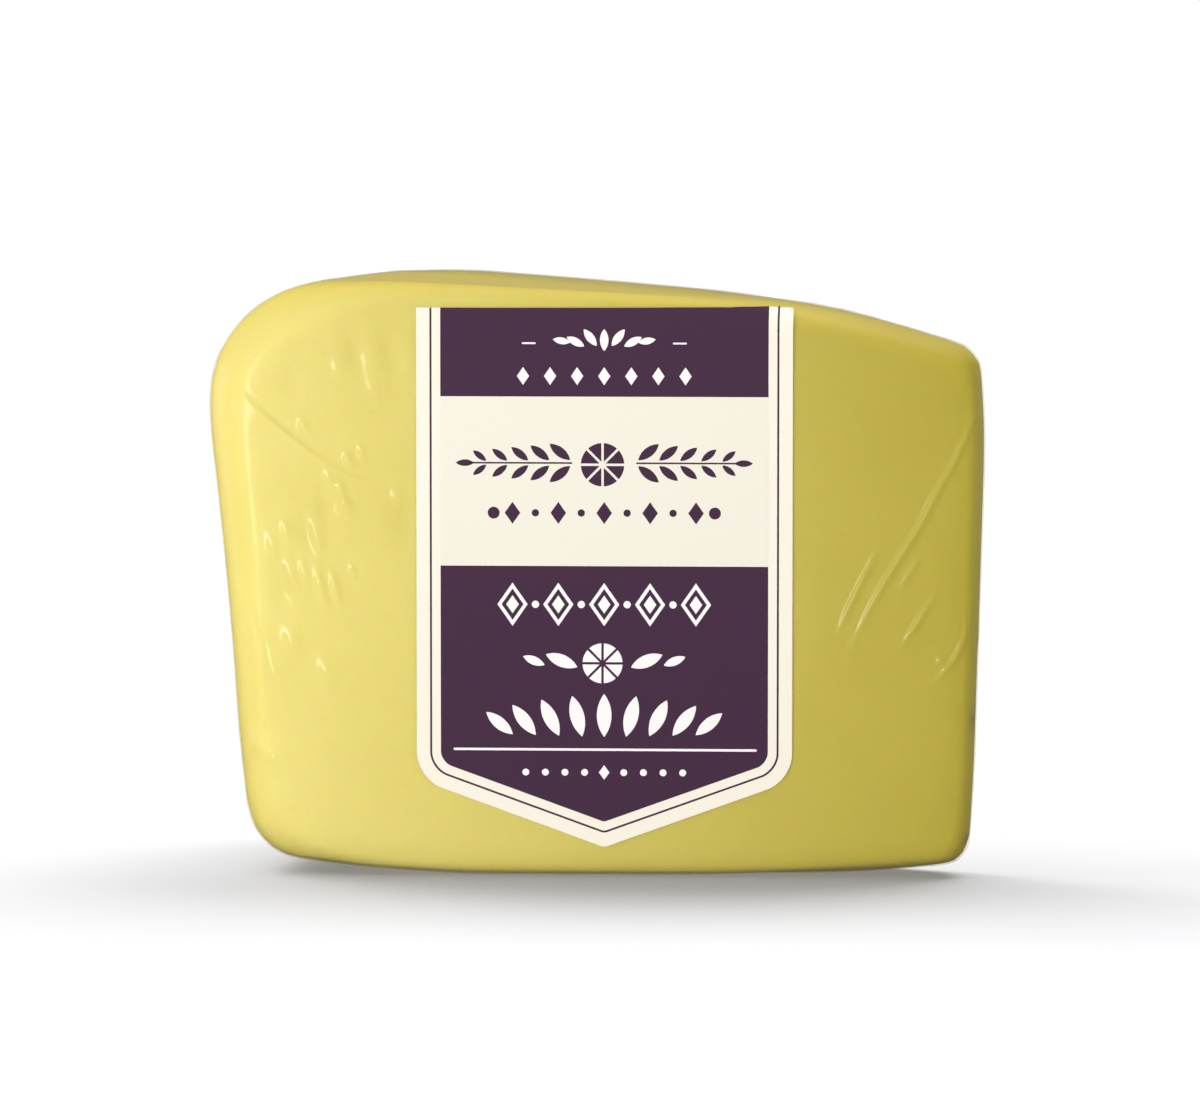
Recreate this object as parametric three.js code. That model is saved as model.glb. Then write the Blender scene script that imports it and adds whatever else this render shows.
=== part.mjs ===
// A wedge of pecorino, cut from a basket-moulded wheel and sealed in clear film, with a shield-shaped
// paper label on one cut face. Millimetres, +Z up, standing on the wheel's flat underside.
// The labelled cut face looks along -Y, the rind of the wheel is on the left (-X) and the wheel's
// middle on the right (+X). The origin is on the floor, under the middle of the bounding box.
import * as THREE from "three";

const { clamp, degToRad, lerp, smoothstep } = THREE.MathUtils;

// ---- The wheel that the wedge was cut from
const WHEEL_RADIUS = 110; // from the wheel's middle to the widest ring of its rind
const WHEEL_HEIGHT = 72.8;
const SHOULDER_ROUND = 14.5; // rounding between the side and the top
const FOOT_ROUND = 5; // rounding between the side and the underside
const WIDEST_HEIGHT = 58; // height of the widest ring
const SIDE_LEAN = 4.4; // how far the side falls in from that ring down to the floor
const SIDE_LEAN_POWER = 1.6;
const TUCK_HEIGHT = 17; // below this the side tucks in a little more
const TUCK_DEPTH = 2.3;
const CROWN_RADIUS = 86; // the top is highest on this ring
const CROWN_SLOPE = 0.048; // fall of the top from there to the wheel's middle, per millimetre
const CROWN_DROP = 0.6; // fall of the top from there to the rind
const HOLLOW_RADIUS = 37; // inside this ring the top sinks more steeply
const HOLLOW_SLOPE = 0.19;
const HOLLOW_SOFTNESS = 5; // how gradually that slope begins
const BELLY_RADIUS = 77; // outside this ring the underside lifts off the floor
const BELLY_LIFT = 2.4; // lift under the widest ring
const BELLY_POWER = 1.3;

// ---- The wedge, as the knife left it and the film rounded it
const WEDGE_ANGLE = degToRad(26);
const NOSE_RADIUS = 14; // the blunt nose stops this far short of the wheel's middle
const NOSE_LEAN = 1.7; // how far the nose falls in from the top down to the floor
const NOSE_ROUND = 3.2; // rounding of the nose's two upright edges
const NOSE_BELLY_RADIUS = 36; // inside this ring the underside lifts off the floor again
const NOSE_BELLY_LIFT = 1.1;
const EDGE_ROUND = 2.2; // rounding along the top and bottom edges of the cut faces
const RIND_EDGE_ROUND = 6; // rounding where the cut faces meet the rind
const RIND_ZONE = 24; // the edges grow rounder over this distance from the rind
const RIND_BORDER = 6; // and keep that rounding over this last stretch
const NOSE_TOP_ROUND = 5; // rounding of the nose's top corner
const NOSE_ZONE = 14;
const NOSE_BORDER = 3;

// ---- The paper label, in the plane of the cut face
const LABEL_WIDTH = 45.9;
const LABEL_CENTRE = 1.4; // its middle line, from the middle of the pack
const LABEL_TOP = 69.7;
const LABEL_SHOULDER = 11.9; // height where its sides would meet its slanting lower edges
const LABEL_POINT = 3.6;
const LABEL_CORNER_ROUND = 4.6;
const LABEL_POINT_ROUND = 1.2;
const LABEL_THICKNESS = 0.4;
const GAP = 0.3; // air between the label and the film

// ---- How finely the curves are stepped
const CORNER_COLUMNS = 7; // columns round each upright edge
const FACE_COLUMNS = 14; // columns across each cut face
const RIND_COLUMNS = 8;
const NOSE_COLUMNS = 2;
const EDGE_RINGS = 6; // rings round the top edge, and round the bottom edge
const SIDE_RINGS = 8;
const CAP_RINGS = 9; // rings from an edge in to the middle of the top or the underside
const LABEL_ROWS = 10;
const BAND = 1.15; // steps crowd over this many times an edge's rounding
const LABEL_STRAIGHT_COLUMNS = 4; // columns along each slanting lower edge
const LABEL_CORNER_COLUMNS = 6; // columns round each lower corner

// ---- Worked out from the sizes above
const AXIS_X = WHEEL_RADIUS / 2 + NOSE_RADIUS / 2; // the wheel's middle, from the middle of the pack
const LEFT = AXIS_X - WHEEL_RADIUS;
const RIGHT = AXIS_X - NOSE_RADIUS;
const BACK_CORNER = new THREE.Vector2(
  AXIS_X - WHEEL_RADIUS * Math.cos(WEDGE_ANGLE),
  WHEEL_RADIUS * Math.sin(WEDGE_ANGLE),
);
const LABEL_HALF = LABEL_WIDTH / 2;
const LABEL_SLANT = Math.atan((LABEL_SHOULDER - LABEL_POINT) / LABEL_HALF); // of its lower edges

// Joins two surfaces, each given as the distance outside it, with a rounded edge.
function roundedEdge(a, b, radius) {
  const past = Math.hypot(Math.max(radius + a, 0), Math.max(radius + b, 0));
  return Math.min(-radius, Math.max(a, b)) + past;
}

function topHeight(radius) {
  const inward = Math.max(CROWN_RADIUS - radius, 0);
  const outward = clamp((radius - CROWN_RADIUS) / (WHEEL_RADIUS - CROWN_RADIUS), 0, 1) ** 2;
  const intoHollow = HOLLOW_RADIUS - radius;
  const hollow = (intoHollow + Math.hypot(intoHollow, HOLLOW_SOFTNESS)) / 2;
  return WHEEL_HEIGHT - CROWN_SLOPE * inward - CROWN_DROP * outward - HOLLOW_SLOPE * hollow;
}

function undersideHeight(radius) {
  const rind = clamp((radius - BELLY_RADIUS) / (WHEEL_RADIUS - BELLY_RADIUS), 0, 1) ** BELLY_POWER;
  const nose = clamp((NOSE_BELLY_RADIUS - radius) / (NOSE_BELLY_RADIUS - NOSE_RADIUS), 0, 1) ** 2;
  return BELLY_LIFT * rind + NOSE_BELLY_LIFT * nose;
}

// How much a place belongs to the rind, and to the nose, from 0 to 1.
function nearRind(radius) {
  return smoothstep(radius, WHEEL_RADIUS - RIND_ZONE, WHEEL_RADIUS - RIND_BORDER);
}

function nearNose(radius) {
  return 1 - smoothstep(radius, NOSE_RADIUS + NOSE_BORDER, NOSE_RADIUS + NOSE_ZONE);
}

// How far a point lies outside the wrapped wedge; inside it is negative.
// The labelled cut face is the plane y = 0, and the wheel's axis stands on it at AXIS_X.
function outside(x, y, z) {
  const radius = Math.hypot(x - AXIS_X, y);
  const height = clamp(z / WIDEST_HEIGHT, 0, 1);
  const lean = SIDE_LEAN * (1 - height ** SIDE_LEAN_POWER);
  const tuck = TUCK_DEPTH * (1 - clamp(z / TUCK_HEIGHT, 0, 1)) ** 2;
  const side = radius - WHEEL_RADIUS + lean + tuck;
  const wheel = roundedEdge(side, z - topHeight(radius), SHOULDER_ROUND);
  const back = (x - AXIS_X) * Math.sin(WEDGE_ANGLE) + y * Math.cos(WEDGE_ANGLE);
  const nose = x - RIGHT + NOSE_LEAN * (1 - height);
  const cuts = roundedEdge(roundedEdge(-y, nose, NOSE_ROUND), back, NOSE_ROUND);
  const rindward = nearRind(radius);
  const noseward = nearNose(radius);
  const softened = (RIND_EDGE_ROUND - EDGE_ROUND) * rindward + (NOSE_TOP_ROUND - EDGE_ROUND) * noseward;
  const wedge = roundedEdge(wheel, cuts, EDGE_ROUND + softened);
  const foot = lerp(EDGE_ROUND, FOOT_ROUND, Math.max(rindward, noseward));
  return roundedEdge(wedge, undersideHeight(radius) - z, foot);
}

// The distance along a ray, from a start inside the wedge, to where `outside` reaches `level`.
function reach(start, direction, level = 0) {
  let near = 0;
  let far = 200;
  for (let step = 0; step < 48; step++) {
    const middle = (near + far) / 2;
    const point = start.clone().addScaledVector(direction, middle);
    if (outside(point.x, point.y, point.z) < level) near = middle;
    else far = middle;
  }
  return near;
}

// Steps from one value to the next through a list of stops, each stretch with its own number of steps.
function stepped(stops, counts) {
  const values = [];
  counts.forEach((count, stretch) => {
    for (let i = 0; i < count; i++) values.push(lerp(stops[stretch], stops[stretch + 1], i / count));
  });
  return values;
}

const ON_FLOOR = 0.001; // a point this close to the floor is part of the flat underside

// ---- The wrapped wedge: rays from a point inside, in columns and rings that crowd at its edges
const HEART_SHARE = 0.36; // of the way from the rind to the nose, and from the labelled face to the back
const HEART = new THREE.Vector3(
  lerp(LEFT, RIGHT, HEART_SHARE),
  BACK_CORNER.y * HEART_SHARE,
  WHEEL_HEIGHT / 2,
);

function bearing(x, y) {
  return Math.atan2(y - HEART.y, x - HEART.x);
}

// The bearings of the columns, anticlockwise from the front of the nose.
function columnBearings() {
  const noseWidth = NOSE_RADIUS * Math.tan(WEDGE_ANGLE);
  const turn = NOSE_ROUND * BAND;
  const rindTurn = RIND_EDGE_ROUND * BAND;
  const full = 2 * Math.PI;
  const along = new THREE.Vector2(Math.cos(WEDGE_ANGLE), -Math.sin(WEDGE_ANGLE)); // along the back cut
  const across = new THREE.Vector2(Math.sin(WEDGE_ANGLE), Math.cos(WEDGE_ANGLE)); // out of the back cut
  const onRind = BACK_CORNER.clone().addScaledVector(across, -rindTurn);
  const onBack = BACK_CORNER.clone().addScaledVector(along, rindTurn);
  const stops = [
    bearing(RIGHT - turn, 0),
    bearing(RIGHT, noseWidth / 3),
    bearing(RIGHT, (noseWidth * 2) / 3),
    bearing(RIGHT - turn, noseWidth + turn * Math.tan(WEDGE_ANGLE)),
    bearing(onBack.x, onBack.y),
    bearing(onRind.x, onRind.y),
    bearing(LEFT, rindTurn) + full,
    bearing(LEFT + rindTurn, 0) + full,
    bearing(RIGHT - turn, 0) + full,
  ];
  const counts = [
    CORNER_COLUMNS, NOSE_COLUMNS, CORNER_COLUMNS, FACE_COLUMNS,
    CORNER_COLUMNS, RIND_COLUMNS, CORNER_COLUMNS, FACE_COLUMNS,
  ];
  return stepped(stops, counts);
}

// The slopes of one column's rings, from straight down to straight up, crowded at the two edges.
function ringSlopes(columnBearing) {
  const level = new THREE.Vector3(Math.cos(columnBearing), Math.sin(columnBearing), 0);
  const width = reach(HEART, level);
  const edge = HEART.clone().addScaledVector(level, width);
  const radius = Math.hypot(edge.x - AXIS_X, edge.y);
  const rise = topHeight(radius) - HEART.z;
  const fall = HEART.z - undersideHeight(radius);
  const topTurn = lerp(EDGE_ROUND, SHOULDER_ROUND, nearRind(radius)) * BAND;
  const footTurn = lerp(EDGE_ROUND, FOOT_ROUND, nearRind(radius)) * BAND;
  const stops = [
    -Math.PI / 2,
    -Math.atan2(fall, width - footTurn),
    -Math.atan2(fall - footTurn, width),
    Math.atan2(rise - topTurn, width),
    Math.atan2(rise, width - topTurn),
    Math.PI / 2,
  ];
  return stepped(stops, [CAP_RINGS, EDGE_RINGS, SIDE_RINGS, EDGE_RINGS, CAP_RINGS]).slice(1);
}

function surfacePoint(columnBearing, slope) {
  const direction = new THREE.Vector3(
    Math.cos(slope) * Math.cos(columnBearing),
    Math.cos(slope) * Math.sin(columnBearing),
    Math.sin(slope),
  );
  const point = HEART.clone().addScaledVector(direction, reach(HEART, direction));
  if (Math.abs(point.z) < ON_FLOOR) point.z = 0;
  return point;
}

function geometryOf(points, faces) {
  const geometry = new THREE.BufferGeometry().setFromPoints(points);
  geometry.setIndex(faces);
  geometry.computeVertexNormals();
  return geometry;
}

// A quad as two triangles; its corners run anticlockwise seen from outside.
function quad(faces, a, b, c, d) {
  faces.push(a, b, c, a, c, d);
}

function wrappedWedgeGeometry() {
  const columns = columnBearings();
  const points = [];
  columns.forEach((columnBearing) => {
    ringSlopes(columnBearing).forEach((slope) => points.push(surfacePoint(columnBearing, slope)));
  });
  const rings = points.length / columns.length;
  const bottom = points.push(surfacePoint(0, -Math.PI / 2)) - 1;
  const top = points.push(surfacePoint(0, Math.PI / 2)) - 1;
  const faces = [];
  columns.forEach((_, column) => {
    const here = column * rings;
    const next = ((column + 1) % columns.length) * rings;
    faces.push(bottom, next, here);
    for (let ring = 0; ring < rings - 1; ring++) {
      quad(faces, here + ring, next + ring, next + ring + 1, here + ring + 1);
    }
    faces.push(top, here + rings - 1, next + rings - 1);
  });
  return geometryOf(points, faces);
}

// ---- The label: a thin shield that follows the film
// The height of the shield's lower edge, at a distance from its middle line: an arc round the point,
// a straight slant, and an arc round the corner up to the upright side.
function labelFoot(distance) {
  const alongSlant = (across) => LABEL_POINT + Math.tan(LABEL_SLANT) * across;
  const pointTurn = LABEL_POINT_ROUND * Math.sin(LABEL_SLANT);
  if (distance < pointTurn) {
    const centre = alongSlant(0) + LABEL_POINT_ROUND / Math.cos(LABEL_SLANT);
    return centre - Math.sqrt(LABEL_POINT_ROUND ** 2 - distance ** 2);
  }
  const fromCorner = distance - (LABEL_HALF - LABEL_CORNER_ROUND);
  if (fromCorner > LABEL_CORNER_ROUND * Math.sin(LABEL_SLANT)) {
    const centre = alongSlant(LABEL_HALF - LABEL_CORNER_ROUND) + LABEL_CORNER_ROUND / Math.cos(LABEL_SLANT);
    return centre - Math.sqrt(Math.max(LABEL_CORNER_ROUND ** 2 - fromCorner ** 2, 0));
  }
  return alongSlant(distance);
}

// Places across the label, from its left edge to its right edge.
function labelColumns() {
  const corner = (turn) => LABEL_HALF - LABEL_CORNER_ROUND * (1 - Math.sin(turn));
  const half = [0, LABEL_POINT_ROUND * Math.sin(LABEL_SLANT)];
  for (let i = 1; i <= LABEL_STRAIGHT_COLUMNS; i++) {
    half.push(lerp(half[1], corner(LABEL_SLANT), i / LABEL_STRAIGHT_COLUMNS));
  }
  for (let i = 1; i <= LABEL_CORNER_COLUMNS; i++) {
    half.push(corner(lerp(LABEL_SLANT, Math.PI / 2, i / LABEL_CORNER_COLUMNS)));
  }
  const mirrored = half.slice(1).map((across) => -across);
  return [...mirrored.reverse(), ...half];
}

function labelGeometry() {
  const columns = labelColumns();
  const outward = new THREE.Vector3(0, -1, 0);
  const points = [];
  [GAP, GAP + LABEL_THICKNESS].forEach((level) => {
    columns.forEach((across) => {
      for (let row = 0; row <= LABEL_ROWS; row++) {
        const share = 1 - (1 - row / LABEL_ROWS) ** 2; // rows crowd at the top edge
        const height = lerp(labelFoot(Math.abs(across)), LABEL_TOP, share);
        const start = new THREE.Vector3(LABEL_CENTRE + across, NOSE_ROUND, height);
        points.push(start.clone().addScaledVector(outward, reach(start, outward, level)));
      }
    });
  });
  const rows = LABEL_ROWS + 1;
  const sheet = columns.length * rows;
  const at = (side, column, row) => side * sheet + column * rows + row;
  const faces = [];
  for (let column = 0; column < columns.length - 1; column++) {
    for (let row = 0; row < LABEL_ROWS; row++) {
      const next = column + 1;
      quad(faces, at(1, column, row), at(1, next, row), at(1, next, row + 1), at(1, column, row + 1));
      quad(faces, at(0, column, row), at(0, column, row + 1), at(0, next, row + 1), at(0, next, row));
    }
    quad(faces, at(0, column, 0), at(0, column + 1, 0), at(1, column + 1, 0), at(1, column, 0));
    const top = LABEL_ROWS;
    quad(faces, at(1, column, top), at(1, column + 1, top), at(0, column + 1, top), at(0, column, top));
  }
  for (let row = 0; row < LABEL_ROWS; row++) {
    const last = columns.length - 1;
    quad(faces, at(0, 0, row), at(1, 0, row), at(1, 0, row + 1), at(0, 0, row + 1));
    quad(faces, at(1, last, row), at(0, last, row), at(0, last, row + 1), at(1, last, row + 1));
  }
  return geometryOf(points, faces);
}

// ---- Finishes
const FILMED_CHEESE = new THREE.MeshStandardMaterial({ color: "#d9c95f", roughness: 0.3, metalness: 0 });
const PRINTED_PAPER = new THREE.MeshStandardMaterial({ color: "#f6f1e6", roughness: 0.6, metalness: 0 });

function named(name, geometry, material) {
  const mesh = new THREE.Mesh(geometry, material);
  mesh.name = name;
  return mesh;
}

const pecorino = new THREE.Group();
pecorino.add(named("wrapped_wedge", wrappedWedgeGeometry(), FILMED_CHEESE));
pecorino.add(named("label", labelGeometry(), PRINTED_PAPER));

// The origin is on the floor, under the middle of the bounding box.
const box = new THREE.Box3().setFromObject(pecorino);
const middle = box.getCenter(new THREE.Vector3());
pecorino.position.set(-middle.x, -middle.y, -box.min.z);

export default pecorino;
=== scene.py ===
# %% [markdown]
# # A wrapped wedge of pecorino
#
# The object is one wedge of sheep's-milk cheese, cut from a small wheel, sealed in tight clear
# film, with a shield-shaped paper label on one cut face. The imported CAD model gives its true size
# and place, and this lesson builds what the eye sees around it: the cheese, the film that clings to
# it, the paper and its print.
#
# Everything is in metres in the CAD model's own frame: -Y looks out of the labelled cut face, the
# rind is on the left (-X), the blunt nose on the right (+X), and the floor is at Z = 0.

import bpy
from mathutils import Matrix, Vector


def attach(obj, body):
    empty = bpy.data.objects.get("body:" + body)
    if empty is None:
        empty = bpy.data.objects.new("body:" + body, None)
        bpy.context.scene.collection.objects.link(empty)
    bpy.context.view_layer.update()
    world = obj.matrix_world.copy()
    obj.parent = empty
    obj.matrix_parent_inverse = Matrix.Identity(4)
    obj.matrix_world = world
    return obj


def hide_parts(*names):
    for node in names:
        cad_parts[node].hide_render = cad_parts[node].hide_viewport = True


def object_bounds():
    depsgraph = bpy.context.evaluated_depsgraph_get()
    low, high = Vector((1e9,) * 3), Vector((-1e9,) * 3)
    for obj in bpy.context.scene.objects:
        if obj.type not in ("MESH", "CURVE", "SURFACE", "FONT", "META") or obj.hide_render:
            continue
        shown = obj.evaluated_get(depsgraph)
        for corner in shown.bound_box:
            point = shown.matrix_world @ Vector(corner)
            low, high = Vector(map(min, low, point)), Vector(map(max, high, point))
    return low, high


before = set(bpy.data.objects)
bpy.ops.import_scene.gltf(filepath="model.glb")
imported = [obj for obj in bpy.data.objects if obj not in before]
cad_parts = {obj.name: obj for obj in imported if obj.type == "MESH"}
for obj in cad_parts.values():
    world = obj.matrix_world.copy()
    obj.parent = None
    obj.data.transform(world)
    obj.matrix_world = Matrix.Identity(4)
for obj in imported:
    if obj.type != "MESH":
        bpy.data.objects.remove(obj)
cad_low, cad_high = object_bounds()
print("CAD nodes:", sorted(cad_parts))
print("CAD box in mm:", [round(v * 1000, 2) for v in cad_low], [round(v * 1000, 2) for v in cad_high])

# %% Measures
import math

import bpy
import numpy as np
from mathutils import Vector

MM = 0.001
AXIS = Vector((61.9, -22.70, 0.0)) * MM  # the middle of the wheel that the wedge was cut from
WHEEL_RADIUS = 110 * MM
WEDGE_ANGLE = math.radians(26)
OUT_OF_BACK = Vector((math.sin(WEDGE_ANGLE), math.cos(WEDGE_ANGLE), 0))
length, height = (cad_high.x - cad_low.x) / MM, cad_high.z / MM
print("The wedge is", round(length, 1), "mm long and", round(height, 1), "mm high")

# %% [markdown]
# ## Small helpers
#
# An operator works on whatever is selected, and loading leaves the CAD nodes selected. So one
# helper clears the selection and picks a piece, one runs an operator in edit mode, and one adds a
# modifier and applies it at once.


# %% Pick, edit and finish a piece
def pick(piece):
    bpy.ops.object.select_all(action="DESELECT")
    piece.select_set(True)
    bpy.context.view_layer.objects.active = piece


def select_faces(piece, wanted):
    """Selects the faces whose entry in a list of true and false is true, ready for edit mode."""
    pick(piece)
    mesh = piece.data
    bpy.context.tool_settings.mesh_select_mode = (False, False, True)
    mesh.vertices.foreach_set("select", np.zeros(len(mesh.vertices), dtype=bool))
    mesh.edges.foreach_set("select", np.zeros(len(mesh.edges), dtype=bool))
    mesh.polygons.foreach_set("select", np.asarray(wanted, dtype=bool))


def edit(piece, operator, select_all=True, **settings):
    pick(piece)
    bpy.ops.object.mode_set(mode="EDIT")
    if select_all:
        bpy.ops.mesh.select_all(action="SELECT")
    operator(**settings)
    bpy.ops.object.mode_set(mode="OBJECT")


def modify(piece, kind, **settings):
    pick(piece)
    modifier = piece.modifiers.new(kind.title(), kind)
    for name, value in settings.items():
        setattr(modifier, name, value)
    bpy.ops.object.modifier_apply(modifier=modifier.name)


def smooth(piece, angle=180):
    pick(piece)
    bpy.ops.object.shade_smooth_by_angle(angle=math.radians(angle))


def remove(piece):
    pick(piece)
    bpy.ops.object.delete()


# %% Read and write a mesh's points as arrays
def points_of(piece):
    """The vertices' places and normals, in millimetres, one row each."""
    count = len(piece.data.vertices)
    places = np.empty(count * 3)
    normals = np.empty(count * 3)
    piece.data.vertices.foreach_get("co", places)
    piece.data.vertices.foreach_get("normal", normals)
    return places.reshape(-1, 3) / MM, normals.reshape(-1, 3)


def move_points(piece, places):
    piece.data.vertices.foreach_set("co", (places * MM).ravel())
    piece.data.update()


def faces_of(piece):
    """The faces' middles and normals, in millimetres, one row each."""
    count = len(piece.data.polygons)
    middles = np.empty(count * 3)
    normals = np.empty(count * 3)
    piece.data.polygons.foreach_get("center", middles)
    piece.data.polygons.foreach_get("normal", normals)
    return middles.reshape(-1, 3) / MM, normals.reshape(-1, 3)


def triangles(piece):
    piece.data.calc_loop_triangles()
    return len(piece.data.loop_triangles)


# %% [markdown]
# ## Camera
#
# The photograph was taken from a little above and far away with a long lens, so the wedge has
# almost no perspective. The lens and the small shift put the cut face where the photograph has it.

# %% Camera at the photograph's angle
AIM = Vector((0.0, -22.70, 36.0)) * MM
DISTANCE = 0.9
ELEVATION = math.radians(5)
YAW = math.radians(3)
towards = Vector((
    math.sin(YAW) * math.cos(ELEVATION),
    -math.cos(YAW) * math.cos(ELEVATION),
    math.sin(ELEVATION),
))

bpy.ops.object.camera_add(location=AIM + towards * DISTANCE)
camera = bpy.context.object
camera.name = "camera"
camera.rotation_euler = (-towards).to_track_quat("-Z", "Y").to_euler()
camera.data.sensor_width = 36
camera.data.lens = 221.3
camera.data.shift_x = 0.0053
camera.data.shift_y = 0.0279
camera.data.clip_start = 0.01
bpy.context.scene.camera = camera
print("Camera", round(DISTANCE * 1000), "mm away, lens", camera.data.lens, "mm")

# %% [markdown]
# ## Materials
#
# Each finish starts from what the real thing is made of. Colours are written as sRGB hex values, as
# a picker shows them, and one function turns them to the linear values that Blender works in. One
# more function adds a node, with its settings, its values and what is linked to it.


# %% Colour and node helpers
def linear(hex_colour):
    channels = [int(hex_colour[i:i + 2], 16) / 255 for i in (1, 3, 5)]
    return [c / 12.92 if c <= 0.04045 else ((c + 0.055) / 1.055) ** 2.4 for c in channels] + [1.0]


def node(tree, kind, values=None, links=None, **settings):
    made = tree.nodes.new(kind)
    for name, value in settings.items():
        setattr(made, name, value)
    for socket, value in (values or {}).items():
        made.inputs[socket].default_value = value
    for socket, source in (links or {}).items():
        tree.links.new(source, made.inputs[socket])
    return made


def new_material(name):
    material = bpy.data.materials.new(name)
    material.use_nodes = True
    material.node_tree.nodes.clear()
    return material, material.node_tree


# %% [markdown]
# ### Cheese paste
#
# Pecorino is a pressed, lightly aged sheep's-milk paste. Its cut face is smooth and waxy, straw
# yellow with a faint cloudy mottling and a few pinprick eyes. Its colour is painted paler towards
# the rind and deeper towards the nose: painted light and shade, added to the key light's fall. Light
# sinks a few millimetres into it, which softens its edges. Painted attributes say where the rind and
# a few small brown bruises are, because these follow the surface, and where painted shade darkens
# the top and bottom along the back cut.

# %% Cheese material
cheese_paste, tree = new_material("pecorino_paste_pressed")
place = node(tree, "ShaderNodeTexCoord").outputs["Object"]
clouds = node(
    tree, "ShaderNodeTexNoise",
    {"Scale": 55.0, "Detail": 3.0, "Roughness": 0.55},  # clouds about 18 mm across
    {"Vector": place},
)
cloudiness = clouds.outputs["Fac"]


def blend_colours(factor, first, second):
    """Mixes two colours, each a hex value or another node's output, by a factor."""
    values = {slot: linear(c) for slot, c in ((6, first), (7, second)) if isinstance(c, str)}
    links = {slot: c for slot, c in ((6, first), (7, second)) if not isinstance(c, str)}
    return node(tree, "ShaderNodeMix", values, {"Factor": factor, **links}, data_type="RGBA").outputs[2]


split = node(tree, "ShaderNodeSeparateXYZ", {}, {0: place})
# painted light and shade: the paste goes from pale on the rind side to deeper at the nose, as the key
# light falls off
painted_falloff_to_nose = node(
    tree, "ShaderNodeMapRange",
    {"From Min": -38 * MM, "From Max": 46 * MM},
    {"Value": split.outputs["X"]},
).outputs[0]
paste_with_painted_light = blend_colours(cloudiness, "#E5D983", "#DFD174")
paste_with_painted_shade = blend_colours(cloudiness, "#D3C54C", "#CBBB40")
rind_mask = node(tree, "ShaderNodeAttribute", attribute_name="rind").outputs["Fac"]
bruise_mask = node(tree, "ShaderNodeAttribute", attribute_name="bruise").outputs["Fac"]
back_cut_shade_mask = node(tree, "ShaderNodeAttribute", attribute_name="back_cut_painted_shade").outputs["Fac"]
# painted shade: the rind on the top and bottom is darkened along the back cut
rind_colour_and_shade = blend_colours(back_cut_shade_mask, "#E6D36A", "#BDAA5C")
sound = blend_colours(rind_mask, blend_colours(painted_falloff_to_nose, paste_with_painted_light, paste_with_painted_shade), rind_colour_and_shade)
coloured = blend_colours(bruise_mask, sound, "#7E6548")
# pinprick eyes about 4 mm apart and half a millimetre wide, and a grain of about 1 mm
eyes = node(tree, "ShaderNodeTexVoronoi", {"Scale": 260.0, "Randomness": 1.0}, {"Vector": place})
eye_edge = node(
    tree, "ShaderNodeMapRange",
    {"From Min": 0.05, "From Max": 0.16, "To Min": 0.0, "To Max": 1.0},
    {"Value": eyes.outputs["Distance"]},
)
grain = node(tree, "ShaderNodeTexNoise", {"Scale": 900.0, "Detail": 2.0}, {"Vector": place})
surface = node(
    tree, "ShaderNodeMath", {}, {0: eye_edge.outputs[0], 1: grain.outputs["Fac"]}, operation="ADD",
)
bump = node(
    tree, "ShaderNodeBump",
    {"Strength": 0.15, "Distance": 0.15 * MM},
    {"Height": surface.outputs[0]},
)
paste = node(
    tree, "ShaderNodeBsdfPrincipled",
    {
        "Roughness": 0.5,
        "IOR": 1.45,
        "Subsurface Weight": 0.35,
        "Subsurface Radius": (1.0, 0.7, 0.25),
        "Subsurface Scale": 2.5 * MM,
    },
    {"Base Color": coloured, "Normal": bump.outputs[0]},
)
node(tree, "ShaderNodeOutputMaterial", {}, {"Surface": paste.outputs[0]})
print("Made", cheese_paste.name)

# %% [markdown]
# ### Clear film
#
# The wrap is thin polyethylene shrink film. It shows only by its gloss, so it is a clear sheet with
# two glossy shaders laid over it: a faint broad one for its milkiness, and a sharp glint that grows
# towards grazing angles. A Fresnel node would take the inside of the wrap for solid plastic and
# darken the cheese, so the glint grows with Layer Weight's Facing instead, which is the same from
# both sides. Stretched round a corner, the film has gone dull. A painted attribute says where.

# %% Film material
GLINT_ON_FLAT = 0.06  # share of the sharp glint where the film is flat and seen square on
GLINT_STRETCHED = 0.01  # the same where it is stretched
GLINT_AT_GRAZING = 0.36  # what is added where the film turns away
shrink_film, tree = new_material("polyethylene_shrink_film")
place = node(tree, "ShaderNodeTexCoord").outputs["Object"]
drawn_out = node(tree, "ShaderNodeMapping", {"Scale": (1.0, 1.0, 0.45)}, {"Vector": place})
ripple = node(
    tree, "ShaderNodeTexNoise",
    {"Scale": 260.0, "Detail": 2.0},  # ripples about 4 mm across
    {"Vector": drawn_out.outputs[0]},
)
slack = node(
    tree, "ShaderNodeTexNoise",
    {"Scale": 60.0, "Detail": 1.0},  # and broader slack, about 17 mm across
    {"Vector": place},
)
waves = node(
    tree, "ShaderNodeMath", {},
    {0: ripple.outputs["Fac"], 1: slack.outputs["Fac"]}, operation="MULTIPLY",
)
bump = node(
    tree, "ShaderNodeBump",
    {"Strength": 0.45, "Distance": 0.4 * MM},
    {"Height": waves.outputs[0]},
)
clear = node(tree, "ShaderNodeBsdfTransparent", {"Color": linear("#F8F7F2")})
milk = node(tree, "ShaderNodeBsdfGlossy", {"Roughness": 0.45}, {"Normal": bump.outputs[0]})
sheet = node(tree, "ShaderNodeMixShader", {0: 0.05}, {1: clear.outputs[0], 2: milk.outputs[0]})
glint = node(tree, "ShaderNodeBsdfGlossy", {"Roughness": 0.15}, {"Normal": bump.outputs[0]})
facing = node(tree, "ShaderNodeLayerWeight", {"Blend": 0.5}, {"Normal": bump.outputs[0]})
steep = node(tree, "ShaderNodeMath", {1: 10.0}, {0: facing.outputs["Facing"]}, operation="POWER")
stretched_mask = node(tree, "ShaderNodeAttribute", attribute_name="stretched").outputs["Fac"]
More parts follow.
